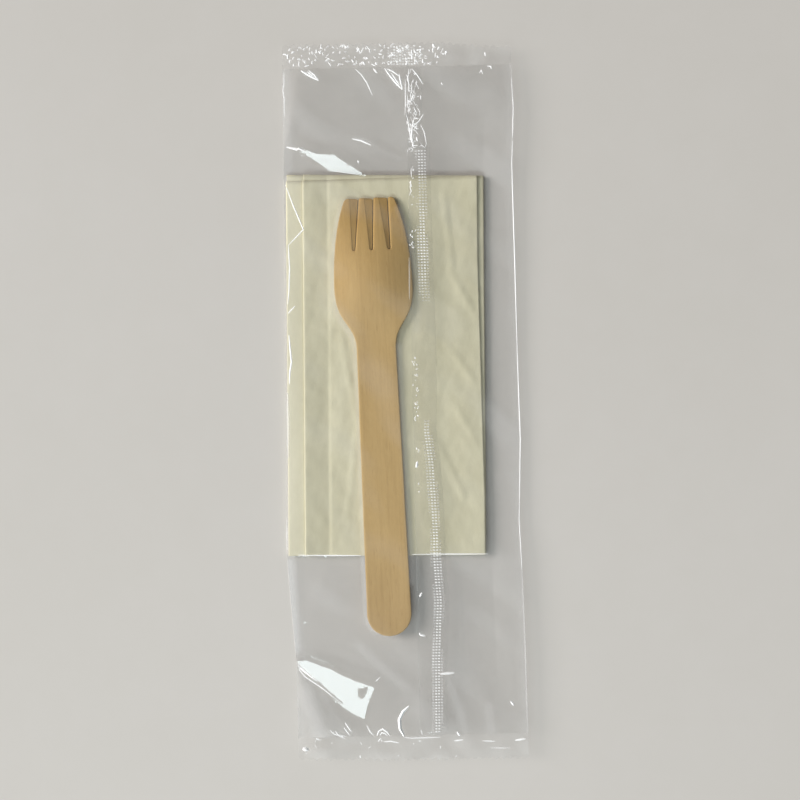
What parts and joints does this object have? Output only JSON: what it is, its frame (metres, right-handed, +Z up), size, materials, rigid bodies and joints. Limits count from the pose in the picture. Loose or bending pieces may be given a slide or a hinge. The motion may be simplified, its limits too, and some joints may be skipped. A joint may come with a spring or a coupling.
{
  "type": "wooden fork and napkin kit",
  "caption": "Clear film flow pack with a fin seal and crimped ends, holding a flat stamped wooden fork on a folded paper napkin.",
  "frame": {"origin": "on the floor under the middle of the pack's plan", "axes": "+Y along the pack towards the fork's tips, +X across the pack, +Z up through the film with the fin seal"},
  "size_m": [0.0848, 0.258, 0.0075],
  "materials": {
    "birch": "raw, tumbled",
    "tissue": "matte",
    "clear_film": "clear, glossy"
  },
  "bodies": {
    "root": {"wooden_fork": "birch", "folded_napkin": "tissue", "film_wrapper": "clear_film"}
  },
  "joints": []
}
